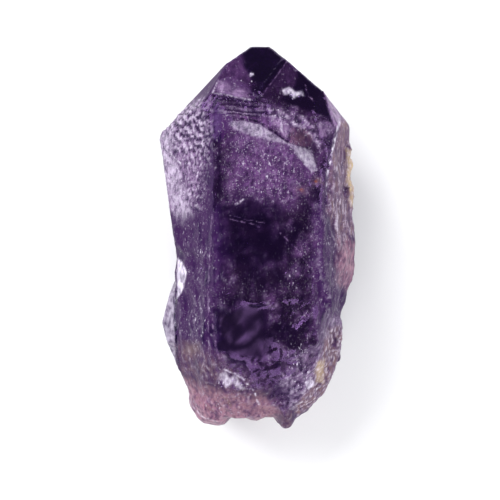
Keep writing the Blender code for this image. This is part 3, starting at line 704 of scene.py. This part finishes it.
def edges_of(faces):
    """Each edge once, as its two point numbers."""
    return np.unique(sides_of(faces), axis=0)


def relaxed(values, edges, weight, passes):
    """Moves each point's values by its weight towards the mean of its neighbours' values, once a pass."""
    a, b = edges.T
    size = len(values)
    count = np.maximum(np.bincount(a, minlength=size) + np.bincount(b, minlength=size), 1)
    for _ in range(passes):
        sums = [np.bincount(a, column[b], size) + np.bincount(b, column[a], size) for column in values.T]
        values = values + np.reshape(weight, (-1, 1)) * (np.stack(sums, axis=1) / count[:, None] - values)
    return values


def normals_of(points, faces):
    """The outward direction at each point: the mean of its triangles' normals, weighted by their areas."""
    sums = [
        sum(np.bincount(corner, weights=column, minlength=len(points)) for corner in faces.T)
        for column in crosses(points, faces).T
    ]
    return unit(np.stack(sums, axis=1))


def rings(points):
    """Shell-like ripples: a sine of the distance from a middle, its rings bent by slow noise."""
    distance = np.linalg.norm(points - np.array(RING_MIDDLE), axis=1) + RING_BEND * noise("ring_bend", points)
    return np.sin(2 * math.pi * distance / RING_SPACING)


def relief(points, normals, growth, mask):
    """Height of the skin over the solid: scales, steps and etch grain on growth faces, rings and ridges on
    broken ones, and crusty grains on the rind. Growth is 1 on growth faces and 0 on broken ones."""

    def form(name, source=points):
        """The noise of that name at its own height."""
        return HEIGHTS[name] * noise(name, source)

    def grains(name, source=points):
        """Rounded grains of that name, each highest at its cell's hashed point."""
        return HEIGHTS[name] * (RIMS[name] - cells(name, source))

    x, y, _ = points.T
    slanted = points @ np.array(SLANT)
    left = np.maximum(mask["left_face"], mask["left_face_frost"])
    height = left * (grains("scales", slanted) * rise("upper", y) + grains("fine_scales"))

    bent = y + STEP_LEAN * x + STEP_BEND * noise("step_bend", points)
    rows = HEIGHTS["step_rows"] * np.sin(2 * math.pi * bent / STEP_SPACING)
    height += mask["steps"] * (rows + form("steps"))
    height += mask["hillocks"] * form("hillocks", slanted) + mask["lens"] * form("lens", slanted)
    height += mask["rind_face"] * form("rind_face") + mask["striped"] * form("striped")

    height += rise("relief_front", normals[:, 2]) * growth * (form("etch_grain") + form("swell"))
    ridged = 1 - np.abs(noise("ridges", points))
    shells = HEIGHTS["rings"] * rings(points) * rise("lower", -y) * rise("ring", ridged)
    height += (1 - growth) * (HEIGHTS["ridges"] * (ridged - RIDGE_FOOT) + form("crumbs") + shells)
    height += np.maximum(mask["rind_edge"], mask["right_border"]) * grains("crust")
    for name in SMOOTH_FACES:
        height *= 1 - SMOOTH_LOSS * mask[name]
    return height


def crystal_shape(voxel):
    """The solid's skin in even triangles, finer along the lines, its broken skin smoothed, its edges worn,
    and the relief laid along its normals within the solid's own box. Gives points, triangles, the share of
    growth face, the masks, and how far the relief stands over its own mean."""
    points, faces, held = even_skin(NODE, voxel)
    low, high = np.array(CAD_BOX) / MM

    def limit(middle):
        paths = [path for _, _, _, path in LINES.values()]
        near = np.maximum.reduce([line_mask(middle[:, :2], path, LINE_REACH) for path in paths])
        return np.where((near > 0) & (middle[:, 2] > LINE_LOW), FINE_EDGE * voxel, COARSE_EDGE * voxel)

    points, faces, held = refined(points, faces, held, limit)
    edges = edges_of(faces)
    masks = all_masks(points)
    raised = rise("raised", points[:, 2])
    for name in ("melted_foot_edge", "melted_right_edge", "melted_left_edge"):
        held *= 1 - raised * masks[name]
    free = 1 - np.maximum(held, 1 - rise("moving", points[:, 2]))
    for _ in range(SMOOTH_PAIRS):
        points = relaxed(points, edges, SMOOTH_IN * free, 1)
        points = relaxed(points, edges, -SMOOTH_OUT * free, 1)
    growth = relaxed(held[:, None], edges, *SHARE_PASSES)[:, 0]
    points = relaxed(points, edges, *WEAR_PASSES)
    normals = normals_of(points, faces)
    height = relief(points, normals, growth, masks) * rise("seated", points[:, 2])
    broad = relaxed(height[:, None], edges, *BROAD_PASSES)[:, 0]
    points = np.clip(points + normals * height[:, None], low, high)
    return points, faces, growth, masks, height - broad


def finish_weights(points, normals, masks, detail):
    """How much of each finish lies at each point: patches, lines, haze and curtains on the front, painted
    shade on its steep faces, noise on the back, and light on the relief's crests and shade in its valleys."""
    y, up = points[:, 1], normals[:, 2]
    front = rise("painted_front", up)
    back = 1 - front
    weights = {name: np.zeros(len(points)) for name in FINISHES}

    def lay(name, share):
        """Raises a finish to that share where it is less."""
        weights[name] = np.maximum(weights[name], share)

    mottle = np.clip(1 + MOTTLE * noise("mottle", points), *MOTTLE_LIMITS)
    for name, (finish, strength, border, _) in PATCHES.items():
        if finish != "dusk":
            strength = strength * (mottle if border > 1.0 else 0.5 + 0.5 * mottle)
        lay(finish, np.clip(strength, 0, 1) * front * masks[name])
    dashes = front * rise("dashes", noise("dashes", points))
    bent = points[:, :2] + LINE_BEND * np.stack([noise("bend_x", points), noise("bend_y", points)], axis=1)
    for finish, strength, width, path in LINES.values():
        lay(finish, strength * dashes * line_mask(bent, path, width))

    rough_front = front * (1 - masks["tip_front"]) * (1 - masks["right_tip_dark"])
    haze = rise("haze", noise("haze", points)) * rise("below_tip", -y)
    lay("mauve", SHARES["haze"] * rough_front * haze)
    curtain = noise("curtain", points)
    lay("mauve", SHARES["curtain"] * rough_front * rise("curtain", -curtain))
    lay("night", SHARES["curtain_gap"] * front * rise("curtain_gap", curtain) * rise("below_steps", -y))
    streaks = rise("streaks", noise("streaks", points))
    side = front * np.maximum(masks["rind_face"], masks["right_border"])
    lay("umber", SHARES["streaks"] * side * streaks)
    lay("lilac", SHARES["streak_gap"] * side * (1 - streaks) * mottle)
    lay("mauve", SHARES["back_haze"] * back * rise("back_haze", noise("back_haze", points)))
    lay("lilac", SHARES["back_frost"] * back * rise("back_frost", noise("back_frost", points)))
    lay("rose", SHARES["back_foot"] * back * rise("foot", -y))

    frosted = np.clip(sum(part * weights[name] for name, part in FROST_OF.items()), 0, 1)
    crest, valley = rise("detail", detail), rise("detail", -detail)
    # Painted shade: steep faces of the front are made darker and duller.
    lay("dusk", SHARES["steep"] * front * (1 - rise("flat", up)))
    weights["night"] *= 1 - NIGHT_LOSS * weights["lilac"]
    lay("night", SHARES["valley"] * frosted * valley)
    lay("silver", SHARES["crest"] * frosted * crest)
    for name in ("mauve", "lilac"):
        weights[name] *= 1 - VALLEY_LOSS * valley
    return {name: np.clip(share, 0, 1) for name, share in weights.items()}


def spark_weights(points, normals, masks):
    """How much painted sparkle: a bell-shaped spot round each place's middle, none on near-black faces."""
    total = np.zeros(len(points))
    for middle, half, strength in PAINTED_SPARKLES.values():
        away = (points[:, :2] - np.array(middle)) / np.array(half)
        total = np.maximum(total, strength * np.exp(-(away**2).sum(axis=1)))
    black = [masks[name] for name in ("tip_front", "right_tip_dark", "hollow")]
    dark = np.maximum.reduce([*black, CORE_DARK * masks["core"]])
    return total * (1 - dark) * rise("spark_front", normals[:, 2])


def new_mesh(name, points, faces):
    """A smooth-shaded mesh object in metres from points in millimetres and triangles, put in the scene."""
    mesh = bpy.data.meshes.new(name)
    mesh.vertices.add(len(points))
    mesh.vertices.foreach_set("co", (points * MM).ravel())
    mesh.loops.add(faces.size)
    mesh.loops.foreach_set("vertex_index", faces.ravel())
    mesh.polygons.add(len(faces))
    mesh.polygons.foreach_set("loop_start", np.arange(0, faces.size, 3))
    mesh.update(calc_edges=True)
    mesh.validate()
    mesh.shade_smooth()
    made = bpy.data.objects.new(name, mesh)
    bpy.context.scene.collection.objects.link(made)
    return made


def paint(mesh, name, values):
    """Stores one number for each point of the mesh."""
    mesh.attributes.new(name, "FLOAT", "POINT").data.foreach_set("value", values.astype(np.float32))


def new_material(name):
    """A node material, its tree and its Principled shader."""
    material = bpy.data.materials.new(name)
    material.use_nodes = True
    tree = material.node_tree
    return material, tree, tree.nodes["Principled BSDF"]


def attribute(tree, name):
    """The number stored at each point under that name."""
    node = tree.nodes.new("ShaderNodeAttribute")
    node.attribute_name = name
    return node.outputs["Fac"]


def math_node(tree, operation, first, second):
    """One sum, product or the like of two sockets or numbers."""
    node = tree.nodes.new("ShaderNodeMath")
    node.operation = operation
    for socket, value in zip(node.inputs, (first, second)):
        if isinstance(value, (int, float)):
            socket.default_value = value
        else:
            tree.links.new(value, socket)
    return node.outputs[0]


def mixed(tree, factor, first, second):
    """First and second colour mixed by the factor."""
    node = tree.nodes.new("ShaderNodeMix")
    node.data_type = "RGBA"
    sockets = [node.inputs[0], node.inputs[6], node.inputs[7]]
    for socket, value in zip(sockets, (factor, first, second)):
        if isinstance(value, bpy.types.NodeSocket):
            tree.links.new(value, socket)
        else:
            socket.default_value = value
    return node.outputs[2]


def grain(tree, name):
    """The material's noise of that name: its features have that size, drawn out along the stretched axes."""
    size, detail, seed, stretch = GRAINS[name]
    place = tree.nodes.new("ShaderNodeTexCoord")
    mapping = tree.nodes.new("ShaderNodeMapping")
    mapping.inputs["Scale"].default_value = [1 / (MM * size * s) for s in stretch]
    mapping.inputs["Location"].default_value = (seed, 2.3 * seed, -seed)
    tree.links.new(place.outputs["Object"], mapping.inputs["Vector"])
    noise_node = tree.nodes.new("ShaderNodeTexNoise")
    noise_node.inputs["Scale"].default_value = 1.0
    noise_node.inputs["Detail"].default_value = detail
    tree.links.new(mapping.outputs["Vector"], noise_node.inputs["Vector"])
    return noise_node.outputs["Fac"]


def ranged(tree, name, value=None):
    """A value, or else the noise of that name, carried smoothly from its range onto another one."""
    node = tree.nodes.new("ShaderNodeMapRange")
    node.interpolation_type = "SMOOTHSTEP"
    tree.links.new(grain(tree, name) if value is None else value, node.inputs["Value"])
    for socket, number in zip(node.inputs[1:5], RANGES[name]):
        socket.default_value = number
    return node.outputs["Result"]


def amethyst_material(stone):
    """Clear violet quartz: the finishes mixed over a violet body, with etch specks, veins, painted sparkles
    and a fine bump, and a violet that takes up light inside."""
    material, tree, shader = new_material("amethyst_quartz")
    links = tree.links
    colour = mixed(tree, ranged(tree, "cloud"), (*stone.violet, 1), (*stone.violet_light, 1))

    def tint(share, name, strength=None):
        """Mixes one of the stone's colours over the colour so far."""
        nonlocal colour
        share = share if strength is None else math_node(tree, "MULTIPLY", share, strength)
        colour = mixed(tree, share, colour, (*getattr(stone, name), 1))
        return share

    streaks = ranged(tree, "streaks")
    for name in FINISHES:
        tint(attribute(tree, name), name, streaks if name in STREAKED else None)
    etch = attribute(tree, "etch")
    tint(ranged(tree, "shade"), "violet", etch)
    tint(ranged(tree, "specks"), "silver", etch)
    away = math_node(tree, "SUBTRACT", grain(tree, "veins"), 0.5)
    tint(ranged(tree, "veins", math_node(tree, "ABSOLUTE", away, 0.0)), "lilac", etch)
    # Painted sparkle: silver spots that stand in for glints, and the skin is less clear under them.
    spark = tint(ranged(tree, "sparkle_spots"), "silver", attribute(tree, "spark"))
    links.new(colour, shader.inputs["Base Color"])
    dull = math_node(tree, "SUBTRACT", 1.0, spark)
    clear = math_node(tree, "MULTIPLY", attribute(tree, "clear"), dull)
    links.new(clear, shader.inputs["Transmission Weight"])
    links.new(attribute(tree, "rough"), shader.inputs["Roughness"])
    shader.inputs["IOR"].default_value = stone.ior
    shader.inputs["Specular IOR Level"].default_value = stone.gloss
    shader.inputs["Specular Tint"].default_value = (*stone.sheen, 1)

    bump = tree.nodes.new("ShaderNodeBump")
    bump.inputs["Distance"].default_value = stone.bump * MM
    links.new(grain(tree, "bump"), bump.inputs["Height"])
    links.new(math_node(tree, "ADD", etch, LEAST_BUMP), bump.inputs["Strength"])
    links.new(bump.outputs["Normal"], shader.inputs["Normal"])

    volume = tree.nodes.new("ShaderNodeVolumeAbsorption")
    volume.inputs["Color"].default_value = (*stone.inside, 1)
    volume.inputs["Density"].default_value = stone.density
    links.new(volume.outputs["Volume"], tree.nodes["Material Output"].inputs["Volume"])
    return material


def glint_material(stone):
    """Bright healed cracks: smooth flakes, their colour drifting from white to violet."""
    material, tree, shader = new_material("glint_flakes")
    drift = mixed(tree, ranged(tree, "drift"), (*stone.silver, 1), (*stone.glint, 1))
    tree.links.new(drift, shader.inputs["Base Color"])
    tree.links.new(ranged(tree, "flake"), shader.inputs["Roughness"])
    return material


def flakes(centres, sizes):
    """Thin flakes, each a ring of corners round a centre, raised to a point on both sides, and turned by a
    fixed random draw. Gives points and triangles."""
    rng = np.random.default_rng(SHAPE_SEED)
    turn = np.arange(FLAKE_CORNERS) * 2 * math.pi / FLAKE_CORNERS
    ring = np.stack([np.cos(turn), np.sin(turn), np.zeros(FLAKE_CORNERS)], axis=1)
    shape = np.vstack([ring, [(0, 0, FLAKE_HALF), (0, 0, -FLAKE_HALF)]])
    count = len(centres)
    first = unit(rng.normal(size=(count, 3)))
    second = unit(np.cross(first, rng.normal(size=(count, 3))))
    axes = np.stack([first, second, np.cross(first, second)], axis=1)
    stretch = rng.uniform(FLAKE_LEAST, 1.0, (count, 1, 3)) * sizes[:, None, None]
    points = (shape[None] * stretch) @ axes + centres[:, None]
    around = [(i, (i + 1) % FLAKE_CORNERS) for i in range(FLAKE_CORNERS)]
    top, under = FLAKE_CORNERS, FLAKE_CORNERS + 1
    one = np.array([(a, b, top) for a, b in around] + [(b, a, under) for a, b in around])
    faces = one[None] + len(shape) * np.arange(count)[:, None, None]
    return points.reshape(-1, 3), faces.reshape(-1, 3)


def skin_height(crystal, x, y):
    """Height of the crystal's skin at a place, found by a ray from above."""
    hit, place, _, _ = crystal.ray_cast((x * MM, y * MM, RAY_HEIGHT), (0, 0, -1))
    return place.z / MM if hit else 0.0


def scattered_glints(crystal):
    """The flakes' centres and sizes, scattered at the skin and a little below it by a fixed random draw."""
    rng = np.random.default_rng(PLACE_SEED)
    centres, sizes = [], []
    for middle, half, depth, size, count in GLINT_SHEETS.values():
        apart = np.clip(rng.normal(size=(count, 2)) * SHEET_SPREAD, -SHEET_LIMIT, SHEET_LIMIT)
        across = np.array(middle) + apart * np.array(half)
        down = DEPTH_SHARE * depth + rng.uniform(0.0, DEPTH_MORE, count)
        top = np.array([skin_height(crystal, x, y) for x, y in across])
        centres.append(np.column_stack([across, np.maximum(top - down, LOWEST_FLAKE)]))
        sizes.append(size * rng.uniform(FLAKE_LEAST, 1.0, count) ** 2)
    return np.vstack(centres), np.concatenate(sizes)


def colour_of(name, description, default):
    """A colour that a user may change."""
    return bpy.props.FloatVectorProperty(
        name=name, description=description, subtype="COLOR", size=3, default=default
    )


def number_of(name, description, default, low=0.0, unit="NONE"):
    """A number that a user may change."""
    return bpy.props.FloatProperty(name=name, description=description, default=default, min=low, unit=unit)


def finish_colour(name, description):
    """The colour of one finish."""
    return colour_of(name, description, FINISHES[name.lower()][0])


class AmethystStone(bpy.types.PropertyGroup):
    """Colours and sizes of the crystal."""

    violet: colour_of("Violet", "Colour of the clear body", (0.030, 0.008, 0.070))
    violet_light: colour_of("Light violet", "Colour of the body's clouds", (0.080, 0.027, 0.130))
    # Mauve is haze, and also a painted reflection on the right tip face.
    mauve: finish_colour("Mauve", "Hazy skin")
    # Dusk is the colour of the painted shade on steep faces, flanks and folds.
    dusk: finish_colour("Dusk", "Dull dark skin of steep faces")
    night: finish_colour("Night", "Near-black clear faces")
    # Lilac is frost, and also painted highlights on some lit faces and edges.
    lilac: finish_colour("Lilac", "Frosted skin")
    rose: finish_colour("Rose", "The foot's pale skin")
    # Umber is stained skin, and also painted shade in the foot's creases.
    umber: finish_colour("Umber", "Stained broken skin")
    straw: finish_colour("Straw", "Grains of the rind")
    # Silver is etched pale skin, and also painted highlights, glints and sparkles.
    silver: finish_colour("Silver", "Etched, lit skin")
    rust: finish_colour("Rust", "Iron stain")
    sheen: colour_of("Sheen", "Colour of the skin's reflections", (0.50, 0.26, 0.74))
    gloss: number_of("Gloss", "Strength of the skin's reflections, 0.5 for a polished face", 0.12)
    glint: colour_of("Glint", "Violet end of the glints", (0.55, 0.30, 0.85))
    inside: colour_of("Inside", "Colour that light takes on inside", (0.47, 0.12, 0.67))
    density: number_of("Density", "How strongly the inside takes up light, for each metre", 190.0)
    ior: number_of("IOR", "Refractive index of quartz", 1.544, low=1.0)
    bump: number_of("Bump", "Depth of the finest etch, in millimetres", 0.10)
    voxel: number_of("Voxel", "Spacing of the skin's points, in millimetres", 0.44, low=0.1)


class AmethystStage(bpy.types.PropertyGroup):
    """Floor, camera and lights."""

    floor: colour_of("Floor", "Colour of the floor", (0.86, 0.86, 0.87))
    lens: number_of("Lens", "Focal length in millimetres", 200.0, low=1.0)
    frame_width: number_of("Frame width", "Width seen at the crystal's edge", 0.1166, unit="LENGTH")
    sky: number_of("Sky", "Strength of the even light", 0.30)
    key: number_of("Key", "Power of the large soft light", 7.6, unit="POWER")
    fill: number_of("Fill", "Power of each side light", 3.5, unit="POWER")


def dressed(piece, material):
    """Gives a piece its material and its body."""
    piece.data.materials.append(material)
    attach(piece, BODY)
    return piece


class AMETHYST_OT_crystal(bpy.types.Operator):
    """Make the crystal's skin with its relief and finishes"""

    bl_idname = "amethyst.crystal"
    bl_label = "Crystal"

    def execute(self, context):
        stone = context.scene.amethyst_stone
        points, faces, growth, masks, detail = crystal_shape(stone.voxel)
        normals = normals_of(points, faces)
        weights = finish_weights(points, normals, masks, detail)
        clear, rough = np.full(len(points), BODY_CLEAR), np.full(len(points), BODY_ROUGH)
        for name, (_, finish_clear, finish_rough) in FINISHES.items():
            clear += weights[name] * (finish_clear - clear)
            rough += weights[name] * (finish_rough - rough)
        polished = np.maximum(weights["night"], TIP_POLISH * rise("tip", points[:, 1]) * growth)
        etch = ETCH_PLAIN - ETCH_POLISHED * polished
        etch = etch + sum(part * weights[name] for name, part in ETCH.items())
        painted = {
            **weights,
            "clear": clear,
            "rough": np.maximum(rough, HOLLOW_ROUGH * masks["hollow"]),
            "etch": np.clip(etch, 0, 1),
            # Where silver spots of painted sparkle stand in for glints.
            "spark": spark_weights(points, normals, masks),
        }
        crystal = new_mesh("crystal", points, faces)
        for name, values in painted.items():
            paint(crystal.data, name, values)
        dressed(crystal, amethyst_material(stone))
        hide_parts(NODE)
        print(f"crystal: {len(faces)} triangles")
        return {"FINISHED"}


class AMETHYST_OT_glints(bpy.types.Operator):
    """Scatter bright flakes over the small cracks at the skin"""

    bl_idname = "amethyst.glints"
    bl_label = "Inner glints"

    def execute(self, context):
        context.view_layer.update()
        points, faces = flakes(*scattered_glints(bpy.data.objects["crystal"]))
        dressed(new_mesh("inner_glints", points, faces), glint_material(context.scene.amethyst_stone))
        return {"FINISHED"}


class AMETHYST_OT_stage(bpy.types.Operator):
    """Make the floor, the soft lights and the camera"""

    bl_idname = "amethyst.stage"
    bl_label = "Stage"

    def execute(self, context):
        stage = context.scene.amethyst_stage
        floor_sheet(stage)
        studio_lights(context.scene, stage)
        camera_above(context.scene, stage)
        return {"FINISHED"}


def floor_sheet(stage):
    """A large plain sheet just under the crystal: a grid of two parameters whose height is constant."""
    side = np.linspace(-FLOOR_SIDE / 2, FLOOR_SIDE / 2, FLOOR_POINTS)
    x, y = np.meshgrid(side, side)
    points = np.column_stack([x.ravel(), y.ravel(), np.full(x.size, -FLOOR_DROP)])
    steps = np.arange(FLOOR_POINTS - 1)
    a = steps[:, None] * FLOOR_POINTS + steps
    b, c, d = a + 1, a + FLOOR_POINTS + 1, a + FLOOR_POINTS
    halves = [np.stack(corners, axis=-1).reshape(-1, 3) for corners in ((a, b, c), (a, c, d))]
    sheet = new_mesh("floor", points, np.vstack(halves))
    material, _, shader = new_material("pale_floor")
    shader.inputs["Base Color"].default_value = (*stage.floor, 1)
    shader.inputs["Roughness"].default_value = FLOOR_ROUGH
    sheet.data.materials.append(material)


def studio_lights(scene, stage):
    """An even dim sky and large soft lights at the upper left, the right and the foot, none over the camera.
    Each light is turned to the middle of the floor."""
    world = bpy.data.worlds.new("studio")
    world.use_nodes = True
    background = world.node_tree.nodes["Background"]
    background.inputs["Color"].default_value = SKY_COLOUR
    background.inputs["Strength"].default_value = stage.sky
    scene.world = world
    for name, (place, size, power) in LIGHTS.items():
        lamp = bpy.data.lights.new(name, "AREA")
        lamp.size = size
        lamp.energy = getattr(stage, power)
        made = bpy.data.objects.new(name, lamp)
        made.location = place
        x, y, z = place
        made.rotation_euler = (math.acos(z / np.linalg.norm(place)), 0, math.atan2(x, -y))
        scene.collection.objects.link(made)


def camera_above(scene, stage):
    """A long lens straight above the crystal, its picture's top towards +Y."""
    camera = bpy.data.cameras.new("camera")
    camera.lens = stage.lens
    camera.sensor_width = SENSOR_WIDTH
    camera.clip_end = CAMERA_END
    distance = stage.frame_width * stage.lens / camera.sensor_width
    made = bpy.data.objects.new("camera", camera)
    made.location = (CAMERA_X, CAMERA_Y, EDGE_HEIGHT + distance)
    scene.collection.objects.link(made)
    scene.camera = made


class AMETHYST_PT_panel(bpy.types.Panel):
    """Lists the crystal's pieces and its stage"""

    bl_label = "Amethyst point"
    bl_idname = "AMETHYST_PT_panel"
    bl_space_type = "VIEW_3D"
    bl_region_type = "UI"
    bl_category = "Amethyst"

    def draw(self, context):
        for operator in OPERATORS:
            self.layout.operator(operator.bl_idname)
        for group in (context.scene.amethyst_stone, context.scene.amethyst_stage):
            for name in group.__annotations__:
                self.layout.prop(group, name)


OPERATORS = (AMETHYST_OT_crystal, AMETHYST_OT_glints, AMETHYST_OT_stage)
CLASSES = (AmethystStone, AmethystStage, *OPERATORS, AMETHYST_PT_panel)


def register():
    for made in CLASSES:
        bpy.utils.register_class(made)
    bpy.types.Scene.amethyst_stone = bpy.props.PointerProperty(type=AmethystStone)
    bpy.types.Scene.amethyst_stage = bpy.props.PointerProperty(type=AmethystStage)


def unregister():
    del bpy.types.Scene.amethyst_stage
    del bpy.types.Scene.amethyst_stone
    for made in reversed(CLASSES):
        bpy.utils.unregister_class(made)


def main():
    register()
    bpy.context.scene.view_settings.view_transform = "Standard"
    bpy.ops.amethyst.crystal()
    bpy.ops.amethyst.glints()
    bpy.ops.amethyst.stage()


if __name__ == "__main__":
    main()
